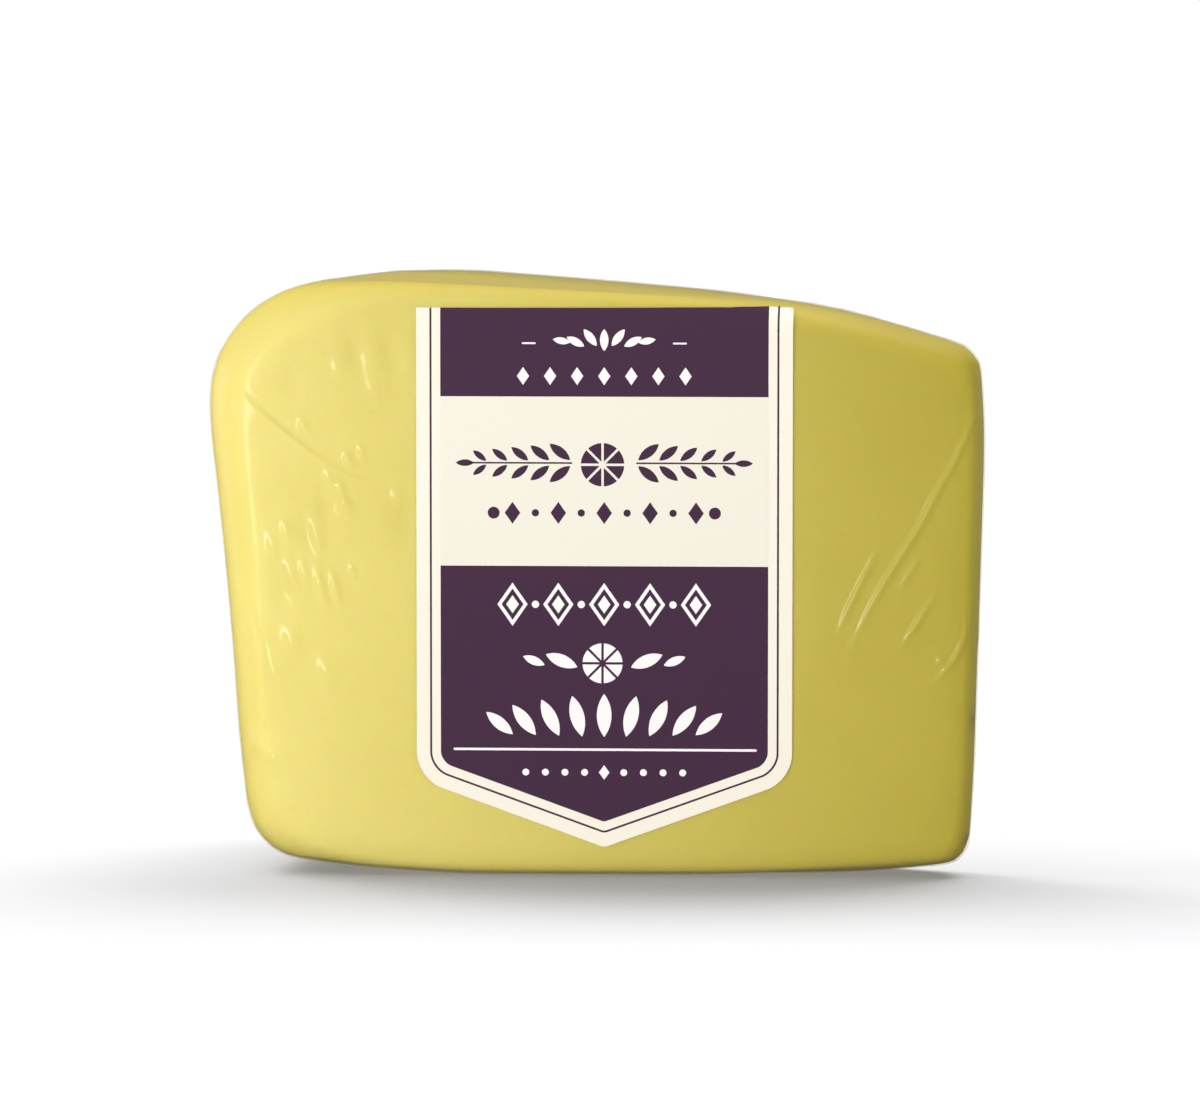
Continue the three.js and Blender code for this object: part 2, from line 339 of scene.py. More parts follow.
least = node(
    tree, "ShaderNodeMath",
    {1: GLINT_STRETCHED - GLINT_ON_FLAT, 2: GLINT_ON_FLAT},
    {0: stretched_mask}, operation="MULTIPLY_ADD",
)
share = node(
    tree, "ShaderNodeMath",
    {1: GLINT_AT_GRAZING},
    {0: steep.outputs[0], 2: least.outputs[0]}, operation="MULTIPLY_ADD",
)
film_mix = node(
    tree, "ShaderNodeMixShader", {}, {0: share.outputs[0], 1: sheet.outputs[0], 2: glint.outputs[0]},
)
node(tree, "ShaderNodeOutputMaterial", {}, {"Surface": film_mix.outputs[0]})
print("Made", shrink_film.name)


# %% [markdown]
# ### Label paper and inks
#
# The label is white coated paper, offset printed: inks lie on it as thin flat films with the same
# satin surface. Real ink is a few thousandths of a millimetre thick; here it is some hundredths, so
# that it can be a mesh.

# %% Paper and ink materials
def satin_print(name, hex_colour, roughness, fibre):
    """A flat colour with the faint unevenness of coated paper, about 0.4 mm across."""
    material, tree = new_material(name)
    place = node(tree, "ShaderNodeTexCoord").outputs["Object"]
    formation = node(tree, "ShaderNodeTexNoise", {"Scale": 2500.0, "Detail": 2.0}, {"Vector": place})
    full = linear(hex_colour)
    worn = [c * (1 - fibre) for c in full[:3]] + [1.0]
    fibres = formation.outputs["Fac"]
    colour = node(tree, "ShaderNodeMix", {6: worn, 7: full}, {"Factor": fibres}, data_type="RGBA")
    bump = node(tree, "ShaderNodeBump", {"Strength": 0.1, "Distance": 0.03 * MM}, {"Height": fibres})
    shader = node(
        tree, "ShaderNodeBsdfPrincipled",
        {"Roughness": roughness, "IOR": 1.48},
        {"Base Color": colour.outputs[2], "Normal": bump.outputs[0]},
    )
    node(tree, "ShaderNodeOutputMaterial", {}, {"Surface": shader.outputs[0]})
    return material


coated_paper = satin_print("coated_paper_calendered", "#F8F1E0", 0.5, 0.03)
aubergine_ink = satin_print("aubergine_ink_offset_printed", "#452A42", 0.5, 0.08)
cream_ink = satin_print("cream_ink_offset_printed", "#F1EBDC", 0.45, 0.03)
white_ink = satin_print("white_ink_offset_printed", "#FBF6F3", 0.45, 0.03)
print("Made", coated_paper.name, "and its three inks")

# %% [markdown]
# ## The smooth form
#
# The CAD wedge is made of flat triangles. A copy is merged, its triangles are joined to quads and
# subdivided, and the result is the smooth skin that both the film and the cheese are taken from. It
# is only a helper.

# %% Smooth copy of the CAD wedge
form = bpy.data.objects.new("smooth_form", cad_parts["wrapped_wedge"].data.copy())
bpy.context.scene.collection.objects.link(form)
form.data.materials.clear()
edit(form, bpy.ops.mesh.remove_doubles, threshold=0.01 * MM)
pick(form)
bpy.ops.mesh.customdata_custom_splitnormals_clear()
edit(
    form, bpy.ops.mesh.tris_convert_to_quads,
    face_threshold=math.radians(50), shape_threshold=math.radians(180),
)
modify(form, "SUBSURF", levels=2, render_levels=2)
print("Smooth form:", len(form.data.polygons), "quads")

# %% [markdown]
# An even net of small faces is needed to press creases into. A voxel remesh makes one, and a
# shrinkwrap then lays it exactly on the smooth form, which takes the voxels' stair-steps out again.


# %% Even net over the form
def even_net(name, step):
    """A net of faces about that many millimetres wide, with the shape of the smooth form."""
    piece = bpy.data.objects.new(name, form.data.copy())
    bpy.context.scene.collection.objects.link(piece)
    modify(piece, "REMESH", mode="VOXEL", voxel_size=step * MM)
    modify(piece, "SMOOTH", factor=0.5, iterations=4)
    modify(piece, "SHRINKWRAP", target=form, wrap_method="NEAREST_SURFACEPOINT")
    return piece


FILM_STEP = 0.8
film = even_net("film", FILM_STEP)
print("Film net:", len(film.data.polygons), "faces")

# %% [markdown]
# ## Film: where it creases
#
# On the real pack the film is drawn tight by heat. It creases where it has to turn a corner: one
# long curved fold runs down from the rind's upper corner, a patch of small puckers sits beside the
# rind, and long straight tension lines fan in from the nose. These are measured across each face,
# in millimetres along it and up from the floor. A crease is a line with a height and a width; a
# pucker is a small oval bump or dent.
#
# The film is a sheet drawn tight by heat, and its folds are under a millimetre wide, so they are
# pressed into the net in code, as a sculptor would press them, and not left to a cloth simulation.


# %% Places along each face
def along_front(places):
    """Millimetres along the labelled face, from the middle of the pack."""
    return places[:, 0]


def along_back(places):
    """Millimetres along the back face, from the wheel's middle out to the rind."""
    return (places - AXIS / MM) @ np.array([-math.cos(WEDGE_ANGLE), math.sin(WEDGE_ANGLE), 0])


def along_rind(places):
    """Millimetres round the rind, from the labelled face to the back face."""
    return np.arctan2(places[:, 1] - AXIS.y / MM, AXIS.x / MM - places[:, 0]) * WHEEL_RADIUS / MM


def rindward(places):
    """The direction straight out of the wheel at each point."""
    out = (places - AXIS / MM) * [1, 1, 0]
    return out / np.hypot(*out.T[:2])[:, None]


FACES = {
    "front": (along_front, lambda places: np.array([0.0, -1.0, 0.0])),
    "back": (along_back, lambda places: np.array(OUT_OF_BACK)),
    "rind": (along_rind, rindward),
}


def on_face(face, places, normals):
    """Flat coordinates on one face, and how much each point belongs to it, from 0 to 1."""
    along, out = FACES[face]
    square = (normals * out(places)).sum(axis=1)
    return np.stack([along(places), places[:, 2]], axis=1), np.clip((square - 0.5) / 0.3, 0, 1)


print("Faces:", list(FACES))

# %% Creases
# each crease: its face, its points, its height and half width in mm, and its kind
creases = [
    ("front", [(-43.2, 60.0), (-42.0, 58.5), (-37.8, 55.0), (-33.9, 51.9), (-31.3, 50.3), (-28.0, 48.8)],
     0.42, 0.40, "fold"),
    ("front", [(-43.1, 34.0), (-42.3, 32.4), (-41.0, 29.5), (-40.7, 24.0), (-40.6, 17.5)],
     0.28, 0.45, "fold"),
    ("front", [(47.2, 58.5), (45.9, 55.5), (43.8, 50.6), (41.6, 47.0), (39.8, 43.1), (37.3, 39.4),
               (34.8, 35.1), (33.1, 32.0), (31.0, 27.2)],
     0.38, 0.44, "ridge"),
    ("front", [(34.6, 40.4), (33.5, 38.0), (32.0, 35.0), (30.7, 32.3), (29.9, 30.0)],
     0.34, 0.40, "ridge"),
    ("front", [(41.8, 35.0), (40.6, 33.1), (38.4, 29.7), (37.4, 28.3)], 0.32, 0.42, "ridge"),
    ("front", [(45.6, 31.6), (45.2, 29.6), (44.2, 27.1), (42.4, 24.9), (41.0, 23.6)],
     0.32, 0.40, "ridge"),
    ("front", [(39.8, 39.3), (38.4, 37.3), (37.2, 35.4)], 0.22, 0.36, "ridge"),
    ("back", [(60.0, 71.0), (60.3, 60.0), (59.8, 48.0), (60.4, 34.0), (59.9, 20.0), (60.2, 1.5)],
     0.16, 0.40, "lap"),
    ("back", [(64.5, 66.0), (72.0, 58.0), (83.0, 51.0), (95.0, 48.0)], 0.22, 0.45, "ridge"),
    ("back", [(64.5, 22.0), (71.0, 15.0), (80.0, 9.0), (92.0, 5.5)], 0.20, 0.45, "ridge"),
    ("back", [(57.0, 52.0), (47.0, 45.0), (36.0, 41.0), (24.0, 40.0)], 0.18, 0.42, "ridge"),
    ("back", [(104.0, 62.0), (99.0, 52.0), (96.0, 40.0)], 0.24, 0.50, "fold"),
    ("back", [(18.0, 60.0), (25.0, 52.0), (34.0, 47.0)], 0.20, 0.45, "fold"),
    ("rind", [(4.0, 66.0), (11.0, 58.0), (17.0, 47.0), (20.0, 36.0)], 0.22, 0.50, "fold"),
    ("rind", [(46.0, 66.0), (41.0, 58.0), (37.0, 48.0)], 0.20, 0.45, "ridge"),
    ("rind", [(5.0, 8.0), (14.0, 14.0), (22.0, 23.0)], 0.20, 0.45, "ridge"),
    ("rind", [(44.0, 7.0), (36.0, 12.0), (30.0, 20.0)], 0.18, 0.45, "ridge"),
]
print(len(creases), "creases")

# %% Puckers and dents
PUCKER_SLANT = 0.22  # the puckers lean a little, with their feet away from the rind
# each pucker: its face, its place, half width, half height and how far it stands out, all in mm
puckers = [
    ("front", -35.4, 55.2, 0.61, 0.92, 0.31), ("front", -30.0, 51.0, 0.51, 0.92, 0.33),
    ("front", -28.3, 51.8, 0.41, 1.12, 0.23), ("front", -31.0, 47.4, 0.61, 1.33, 0.36),
    ("front", -30.2, 45.4, 0.70, 0.92, 0.33), ("front", -32.3, 48.6, 0.51, 1.22, 0.23),
    ("front", -33.9, 41.6, 0.70, 1.84, 0.41), ("front", -37.6, 42.3, 0.51, 1.22, 0.23),
    ("front", -39.2, 40.2, 0.61, 1.63, 0.25), ("front", -37.0, 36.8, 0.81, 1.94, 0.44),
    ("front", -35.4, 37.4, 0.61, 1.43, 0.36), ("front", -33.5, 35.8, 0.70, 2.24, 0.44),
    ("front", -31.6, 35.3, 0.61, 1.94, 0.39), ("front", -29.4, 37.4, 0.41, 0.82, 0.23),
    ("front", -36.9, 28.6, 0.92, 1.84, 0.36), ("front", -39.1, 24.8, 0.92, 2.24, 0.41),
    ("front", -32.6, 24.8, 0.81, 1.84, 0.31), ("front", -41.2, 15.8, 0.81, 1.12, 0.36),
    ("front", -39.2, 14.3, 0.81, 0.92, 0.33), ("front", -23.9, 46.2, 0.81, 2.04, 0.29),
    ("front", -26.9, 60.2, 0.81, 1.63, 0.18), ("front", -31.2, 62.6, 0.81, 1.53, 0.21),
    ("front", 42.3, 26.7, 0.51, 0.61, 0.29), ("front", -40.8, 30.6, 0.61, 1.02, 0.29),
    ("back", 101.0, 36.0, 0.94, 2.16, 0.39), ("back", 98.5, 30.0, 0.81, 1.92, 0.36),
    ("back", 102.5, 27.0, 0.94, 1.68, 0.36), ("back", 97.0, 23.0, 0.81, 2.04, 0.34),
    ("rind", 24.0, 60.0, 1.08, 1.68, 0.34), ("rind", 29.0, 57.5, 0.94, 1.92, 0.34),
    ("rind", 33.0, 30.0, 1.08, 2.04, 0.31), ("rind", 12.0, 40.0, 0.94, 1.92, 0.31),
]
# each dent of the cheese itself, which the film follows
dents = [
    ("front", -36.7, 60.8, 0.9, 1.9, -0.22), ("front", -29.0, 64.0, 0.9, 2.1, -0.24),
    ("front", -24.6, 63.8, 1.0, 2.6, -0.26), ("front", -34.9, 42.0, 1.2, 2.0, -0.20),
    ("front", -38.2, 35.3, 1.2, 2.4, -0.20), ("front", -32.6, 45.0, 1.2, 2.2, -0.20),
    ("front", -22.9, 42.6, 1.5, 3.8, -0.26), ("back", 88.0, 34.0, 2.0, 3.4, -0.30),
    ("back", 40.0, 26.0, 1.8, 3.0, -0.28), ("rind", 18.0, 26.0, 2.0, 3.0, -0.25),
]
print(len(puckers), "puckers and", len(dents), "dents")

# %% [markdown]
# The net is fine enough for the broad form, but a crease is under a millimetre wide. So the faces
# near each crease and pucker are subdivided twice.


# %% Distance from a crease
def rounded_line(line, rounds=2):
    """Cuts the corners off a line of points, so that it bends smoothly."""
    line = np.array(line, dtype=float)
    for _ in range(rounds):
        near = line[:-1] * 0.75 + line[1:] * 0.25
        far = line[:-1] * 0.25 + line[1:] * 0.75
        line = np.vstack([line[:1], np.stack([near, far], axis=1).reshape(-1, 2), line[-1:]])
    return line


def from_line(flat, line):
    """For each point: its distance from the line, on which side, and how far along, from 0 to 1."""
    steps = np.diff(line, axis=0)
    lengths = np.hypot(*steps.T)
    travelled = np.concatenate([[0], np.cumsum(lengths)]) / lengths.sum()
    distance = np.full(len(flat), 1e9)
    side = np.zeros(len(flat))
    along = np.zeros(len(flat))
    for i, (start, step) in enumerate(zip(line, steps)):
        offset = flat - start
        share = np.clip(offset @ step / (step @ step), 0, 1)
        gap = np.hypot(*(offset - share[:, None] * step).T)
        closer = gap < distance
        distance[closer] = gap[closer]
        side[closer] = np.sign(step[0] * offset[closer, 1] - step[1] * offset[closer, 0])
        along[closer] = travelled[i] + share[closer] * (travelled[i + 1] - travelled[i])
    return distance, side, along


# %% Finer faces where the film creases
def near_features(piece, reach_creases, reach_puckers):
    """True for each face that is near a crease or a pucker."""
    middles, normals = faces_of(piece)
    near = np.zeros(len(middles), dtype=bool)
    for face in FACES:
        flat, belongs = on_face(face, middles, normals)
        for line_face, line, _, _, _ in creases:
            if line_face == face:
                near |= (from_line(flat, rounded_line(line))[0] < reach_creases) & (belongs > 0)
        for mark_face, along, up, half_width, half_height, _ in puckers:
            if mark_face == face:
                away = np.hypot((flat[:, 0] - along) / half_width, (flat[:, 1] - up) / half_height)
                near |= (away < reach_puckers) & (belongs > 0)
    return near


# how near a crease in mm, and how near a pucker in half widths, first wide and then close
for reach_creases, reach_puckers in ((2.0, 3.0), (1.3, 2.3)):
    select_faces(film, near_features(film, reach_creases, reach_puckers))
    edit(film, bpy.ops.mesh.subdivide, select_all=False, number_cuts=1)
modify(film, "SHRINKWRAP", target=form, wrap_method="NEAREST_SURFACEPOINT")
print("Film net, refined:", triangles(film), "triangles")


# %% Height of each feature over the smooth form
LAP_WIDTH = 5.0  # how far one edge of the film lies over the other along the seam
LAP_STEP = 0.12
LAP_FADE = 0.6


def crease_heights(places, normals):
    out = np.zeros(len(places))
    for face, line, height, half_width, kind in creases:
        flat, belongs = on_face(face, places, normals)
        distance, side, along = from_line(flat, rounded_line(line))
        taper = np.sin(np.pi * np.clip(along, 0.02, 0.98)) ** 0.6  # it runs out at both ends
        near = distance / half_width
        if kind == "ridge":
            shape = np.exp(-near ** 2)
        elif kind == "lap":  # one edge of the film lies over the other and ends in a small step
            across = distance * side
            shape = 1 / (1 + np.exp(-across / LAP_STEP)) / (1 + np.exp((across - LAP_WIDTH) / LAP_FADE))
            taper = 1
        else:  # a fold laps over itself: it rises slowly on one side and drops at once on the other
            slow_rise = np.exp(-near / 2.5) - np.exp(-near ** 2 * 2)
            shape = np.where(side < 0, slow_rise, -np.exp(-near ** 2) * 0.8)
        out += height * shape * taper * belongs
    return out


def oval_heights(places, normals, marks):
    out = np.zeros(len(places))
    for face, along, up, half_width, half_height, height in marks:
        flat, belongs = on_face(face, places, normals)
        across = flat[:, 0] - along + PUCKER_SLANT * (flat[:, 1] - up)
        spread = (across / half_width) ** 2 + ((flat[:, 1] - up) / half_height) ** 2
        out += height * np.exp(-spread) * belongs
    return out


# %% Paint where the film is stretched
STRETCH_STARTS = 0.998  # how square the film is to the nearest face there: it leans about 4 degrees
STRETCH_FULL = 0.982  # about 11 degrees
places, normals = points_of(film)
squareness = np.max([(normals * out(places)).sum(axis=1) for _, out in FACES.values()], axis=0)
stretched = np.clip((STRETCH_STARTS - squareness) / (STRETCH_STARTS - STRETCH_FULL), 0, 1)


def paint(piece, name, values):
    """Writes one number for each vertex, which a material reads by its name."""
    piece.data.attributes.new(name, "FLOAT", "POINT").data.foreach_set("value", values)


paint(film, "stretched", stretched)
print("Stretched:", round(stretched.mean() * 100), "% of the film's points")

# %% Press the features into the film
LOWEST = -0.06  # a crease stays clear of the cheese; only a dent, which the cheese has too, is deeper
heights = (
    np.maximum(crease_heights(places, normals), LOWEST)
    + oval_heights(places, normals, puckers)
    + oval_heights(places, normals, dents)
)
move_points(film, places + normals * heights[:, None])
smooth(film)
film.data.materials.append(shrink_film)
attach(film, "root")
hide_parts("wrapped_wedge")
print("Film:", triangles(film), "triangles")

# %% [markdown]
# ## Cheese
#
# Under the film lies the cheese itself. It is the same form a hair smaller, and its edges are a
# little rounder than the film's, because the tight film bridges them. That small gap draws a thin
# line along the top and the side of the real pack. The soft paste also takes a weaker imprint of
# the film's folds, and the rind has the faint ribs of a basket mould.

# %% Cheese body
CHEESE_STEP = 1.0
GAP_UNDER_FILM = 0.08
cheese = even_net("cheese", CHEESE_STEP)
edit(cheese, bpy.ops.transform.shrink_fatten, value=-GAP_UNDER_FILM * MM)
modify(cheese, "SMOOTH", factor=0.5, iterations=5)
for reach_creases, reach_puckers in ((1.8, 2.6), (1.2, 2.0)):
    select_faces(cheese, near_features(cheese, reach_creases, reach_puckers))
    edit(cheese, bpy.ops.mesh.subdivide, select_all=False, number_cuts=1)
modify(cheese, "SMOOTH", factor=0.5, iterations=2)
print("Cheese net:", triangles(cheese), "triangles")

# %% Where the rind is
INNERMOST_RIND = 80  # every point of the rind is farther than this from the wheel's middle
places, normals = points_of(cheese)
radius = np.hypot(places[:, 0] - AXIS.x / MM, places[:, 1] - AXIS.y / MM)
outward = (
    (places[:, 0] - AXIS.x / MM) * normals[:, 0] + (places[:, 1] - AXIS.y / MM) * normals[:, 1]
) / radius
# the rind's share grows where the surface turns out of the wheel, or up or down
on_side = np.clip((outward - 0.6) / 0.35, 0, 1) * (radius > INNERMOST_RIND)
on_caps = np.clip((np.abs(normals[:, 2]) - 0.45) / 0.5, 0, 1)
paint(cheese, "rind", np.maximum(on_side, on_caps))
for where, share in (("side", on_side), ("caps", on_caps)):
    print("Rind on the", where + ":", int((share > 0.5).sum()), "points")

# %% Ribs, imprint and dents
RIB_PITCH = 4.2
RIB_HEIGHT = 0.10
IMPRINT_SHARE = 0.5  # how much of a fold's height the paste takes
round_rind = along_rind(places)
# the ribs fade over the last centimetre on the way to either cut face
inside_rind = np.clip(round_rind / 10 - 0.4, 0, 1) * np.clip(4.6 - round_rind / 10, 0, 1)
ribs = np.sin(places[:, 2] * 2 * np.pi / RIB_PITCH) * inside_rind * on_side * (1 - on_caps)
imprint = np.maximum(crease_heights(places, normals), LOWEST) + oval_heights(places, normals, puckers)
heights = RIB_HEIGHT * ribs + IMPRINT_SHARE * imprint + oval_heights(places, normals, dents)
move_points(cheese, places + normals * heights[:, None])
print("Relief of the cheese:", round(heights.min(), 2), "to", round(heights.max(), 2), "mm")

# %% Bruises and the painted shade along the back cut
SHADE_STRIP = 15  # how far the painted shade on the top and bottom reaches from the back cut
# each bruise: its place and its radii, in mm
bruises = [((47.2, -20.5, 19.4), (1.3, 2.4, 1.5)), ((46.4, -20.6, 4.4), (1.3, 1.9, 1.0))]
bruise = np.zeros(len(places))
for middle, radii in bruises:
    bruise += np.exp(-(((places - middle) / radii) ** 2).sum(axis=1) * 1.5)
paint(cheese, "bruise", np.clip(bruise, 0, 0.8))  # a bruise never hides the paste altogether
from_back_cut = (np.array(AXIS) / MM - places) @ np.array(OUT_OF_BACK)
# painted shade, darker along the back cut on the top and bottom
paint(cheese, "back_cut_painted_shade", np.clip(1 - from_back_cut / SHADE_STRIP, 0, 1) * on_caps)
smooth(cheese)
cheese.data.materials.append(cheese_paste)
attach(cheese, "root")
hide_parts("wrapped_wedge")
cheese.visible_diffuse = False  # keeps its yellow off the floor, which is neutral grey in the photograph
print("Cheese:", triangles(cheese), "triangles")

# %% [markdown]
# ## Label
#
# The label is a paper shield: straight sides, rounded lower corners and a blunt point. It starts as
# a plane, the lower edge is divided and its middle pulled down to the point, and the corners are
# bevelled round. Print and paper share the same outline at different margins, so one function makes
# them all. The sheet is then cut into cells, laid on the smooth form and given its thickness. Stiff
# paper bends only a little over the rounded top edge.

# %% Label measures
LABEL_MIDDLE = 1.30  # its middle line from the middle of the pack, in mm
LABEL_HALF = 22.95
LABEL_TOP = 69.70
LABEL_SHOULDER = 11.99  # height where its sides would meet the slanting lower edges
LABEL_POINT = 3.69
LABEL_CORNER = 4.6
LABEL_SLANT = math.atan2(LABEL_SHOULDER - LABEL_POINT, LABEL_HALF)
SHEET_PLANE = -40.0  # sheets are drawn here, in front of the wedge, and then laid on it
WRAP_REACH = 1.6  # how far back a stiff sheet bends over the rounded top edge
BEND_START = 64.0  # above this height the cells are low, so that the sheet can bend
CELL_HEIGHT = 0.35
CELL_WIDTH = 1.5
NEAR = 0.01  # points this close to a line count as on it


# %% Shield outlines
def select_points(piece, wanted):
    """Selects the vertices whose entry in a list of true and false is true, ready for edit mode."""
    pick(piece)
    mesh = piece.data
    bpy.context.tool_settings.mesh_select_mode = (True, False, False)
    mesh.polygons.foreach_set("select", np.zeros(len(mesh.polygons), dtype=bool))
    chosen = np.asarray(wanted, dtype=bool)
    mesh.vertices.foreach_set("select", chosen)
    mesh.edges.foreach_set("select", [all(chosen[v] for v in edge.vertices) for edge in mesh.edges])


def shield(name, margin, top, corner, point):
    """A flat shield facing -Y, a margin inside the label's outline, with rounded corners and point."""
    half = LABEL_HALF - margin
    foot = LABEL_POINT + margin / math.cos(LABEL_SLANT)
    shoulder = foot + half * math.tan(LABEL_SLANT)
    bpy.ops.object.select_all(action="DESELECT")
    bpy.ops.mesh.primitive_plane_add(size=1, rotation=(math.pi / 2, 0, 0))
    piece = bpy.context.object
    piece.name = name
    piece.scale = (half * 2 * MM, (top - shoulder) * MM, 1)
    piece.location = Vector((LABEL_MIDDLE, SHEET_PLANE, (top + shoulder) / 2)) * MM
    bpy.ops.object.transform_apply(location=True, rotation=True, scale=True)
    select_points(piece, [v.co.z < (shoulder + NEAR) * MM for v in piece.data.vertices])
    edit(piece, bpy.ops.mesh.subdivide, select_all=False, number_cuts=1)
    select_points(piece, [abs(v.co.x - LABEL_MIDDLE * MM) < NEAR * MM for v in piece.data.vertices])
    edit(piece, bpy.ops.transform.translate, select_all=False, value=(0, 0, (foot - shoulder) * MM))
    select_points(piece, [v.co.z < (foot + NEAR) * MM for v in piece.data.vertices])
    edit(
        piece, bpy.ops.mesh.bevel, select_all=False, affect="VERTICES", segments=6,
        offset=point * math.tan(LABEL_SLANT) * MM,
    )
    select_points(piece, [abs(v.co.z - shoulder * MM) < NEAR * MM for v in piece.data.vertices])
    edit(
        piece, bpy.ops.mesh.bevel, select_all=False, affect="VERTICES", segments=12,
        offset=corner * math.tan((math.pi / 2 - LABEL_SLANT) / 2) * MM,
    )
    return piece


def cut_at(piece, height, keep):
    """Cuts a sheet level at a height and keeps what is above or below it, or both."""
    edit(
        piece, bpy.ops.mesh.bisect,
        plane_co=(0, 0, height * MM), plane_no=(0, 0, 1),
        clear_inner=keep == "above", clear_outer=keep == "below",
    )


# %% Lay a sheet on the wedge
def lay(piece, lift, thickness, cells=True):
    """Cuts a flat sheet into cells that can bend, lays it on the form and gives it thickness."""
    for height in np.arange(BEND_START, LABEL_TOP, CELL_HEIGHT) if cells else ():
        cut_at(piece, height, "both")
    for across in np.arange(-21.0, 25.0, CELL_WIDTH) if cells else ():
        edit(piece, bpy.ops.mesh.bisect, plane_co=(across * MM, 0, 0), plane_no=(1, 0, 0))
    modify(
        piece, "SHRINKWRAP", target=form, wrap_method="PROJECT", wrap_mode="ABOVE_SURFACE",
        use_project_y=True, use_positive_direction=True, use_negative_direction=False, offset=lift * MM,
    )
    places, _ = points_of(piece)
    places[:, 1] = np.minimum(places[:, 1], AXIS.y / MM + WRAP_REACH - lift)
    move_points(piece, places)
    modify(piece, "SOLIDIFY", thickness=thickness * MM, offset=1)
    smooth(piece, 30)
    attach(piece, "root")
    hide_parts("label")
    return piece


PAPER_LIFT = 0.04
PAPER_THICKNESS = 0.16
label = shield("label_paper", 0.0, LABEL_TOP, LABEL_CORNER, 1.2)
lay(label, PAPER_LIFT, PAPER_THICKNESS)
label.data.materials.append(coated_paper)
print("Label:", triangles(label), "triangles")

# %% [markdown]
# ### Print
#
# The print is a thin keyline that follows the outline, a dark band at the top, a cream panel, and a
# dark field below with a light rule across it. Each is the same shield at its own margin, cut level
# where it ends. The print runs off the top edge of the paper.

# %% Fields of colour and keyline
PRINT_LIFT = 0.205
PRINT_THICKNESS = 0.015
FIELD_MARGIN = 2.95
KEYLINE_MARGIN = 1.64
KEYLINE_WIDTH = 0.24
BAND_FOOT = 58.9
PANEL_FOOT = 38.2


def field(name, low, high, ink):
    piece = shield(name, FIELD_MARGIN, LABEL_TOP, 2.0, 0.8)
    if high:
        cut_at(piece, high, "below")
    if low:
        cut_at(piece, low, "above")
    lay(piece, PRINT_LIFT, PRINT_THICKNESS)
    piece.data.materials.append(ink)
    return piece


top_band = field("print_top_band", BAND_FOOT, None, aubergine_ink)
cream_panel = field("print_cream_panel", PANEL_FOOT, BAND_FOOT, cream_ink)
lower_field = field("print_lower_field", None, PANEL_FOOT, aubergine_ink)

# a rim is inset in a higher shield, its middle is deleted, and its top is cut off level
keyline = shield("print_keyline", KEYLINE_MARGIN, LABEL_TOP + 6, 3.1, 1.0)
edit(keyline, bpy.ops.mesh.inset, thickness=KEYLINE_WIDTH * MM)
select_faces(keyline, [len(face.vertices) > 8 for face in keyline.data.polygons])
edit(keyline, bpy.ops.mesh.delete, select_all=False, type="FACE")
cut_at(keyline, LABEL_TOP, "below")
lay(keyline, PRINT_LIFT, PRINT_THICKNESS)
keyline.data.materials.append(aubergine_ink)
print("Keyline:", triangles(keyline), "triangles")

# %% [markdown]
# ### Ornament
#
# Rows of small plain ornament fill the fields: leaves, lozenges, discs, and a cheese wheel cut in
# slices. Each motif is modelled once, flat, and copied to its places. A leaf is the cap of a
# circle, cut off by a bisect and mirrored, and a slice is what two bisects leave of a disc.


# %% Motifs
TINY = 1e-7  # in metres; with a coarser threshold a bisect would snap to the nearest corners


def flat_circle(name, corners, radius, fill="NGON", place=(0, 0)):
    bpy.ops.object.select_all(action="DESELECT")
    bpy.ops.mesh.primitive_circle_add(
        vertices=corners, radius=radius * MM, fill_type=fill,
        location=(place[0] * MM, 0, place[1] * MM), rotation=(math.pi / 2, 0, 0),
    )
    piece = bpy.context.object
    piece.name = name
    bpy.ops.object.transform_apply(location=True, rotation=True, scale=True)
    return piece


def leaf(length, width):
    radius = (length ** 2 + width ** 2) / (4 * width)
    piece = flat_circle("leaf", 72, radius, place=(width / 2 - radius, 0))
    edit(
        piece, bpy.ops.mesh.bisect,
        plane_co=(0, 0, 0), plane_no=(1, 0, 0), clear_inner=True, threshold=TINY,
    )
    modify(piece, "MIRROR", use_axis=(True, False, False), merge_threshold=0.01 * MM)
    edit(piece, bpy.ops.mesh.remove_doubles, threshold=0.02 * MM)
    edit(piece, bpy.ops.mesh.dissolve_faces)
    return piece


def lozenge(width, height, hollow=0.0):
    """A lozenge; a hollow one keeps a rim that wide and a small lozenge in its middle."""
    piece = flat_circle("lozenge", 4, width / 2)
    edit(piece, bpy.ops.transform.resize, value=(1, 1, height / width))
    if hollow:
        edit(piece, bpy.ops.mesh.inset, thickness=hollow * MM)
        select_faces(piece, [face.center.length < NEAR * MM for face in piece.data.polygons])
        edit(piece, bpy.ops.mesh.inset, select_all=False, thickness=hollow * 1.1 * MM)
        nearest = np.sort([face.center.length for face in piece.data.polygons])
        gap = [nearest[0] < face.center.length < nearest[5] - TINY for face in piece.data.polygons]
        select_faces(piece, gap)
        edit(piece, bpy.ops.mesh.delete, select_all=False, type="FACE")
    return piece


def disc(width):
    piece = flat_circle("disc", 28, width / 2)
    edit(piece, bpy.ops.mesh.inset, thickness=width * 0.15 * MM)
    return piece


SLICES = 8
SLICE_GAP = 0.3


def slice_of_wheel(width):
    """One slice of a cheese wheel seen from above, its point at the origin, half a gap on each side."""
    half = math.radians(180 / SLICES)
    piece = flat_circle("wheel", 48, width / 2, fill="TRIFAN")
    for side in (-1, 1):
        out = Vector((-math.sin(half), 0, side * math.cos(half)))
        edit(
            piece, bpy.ops.mesh.bisect,
            plane_co=out * -SLICE_GAP / 2 * MM, plane_no=out, clear_outer=True, threshold=TINY,
        )
    edit(piece, bpy.ops.mesh.dissolve_faces)
    return piece


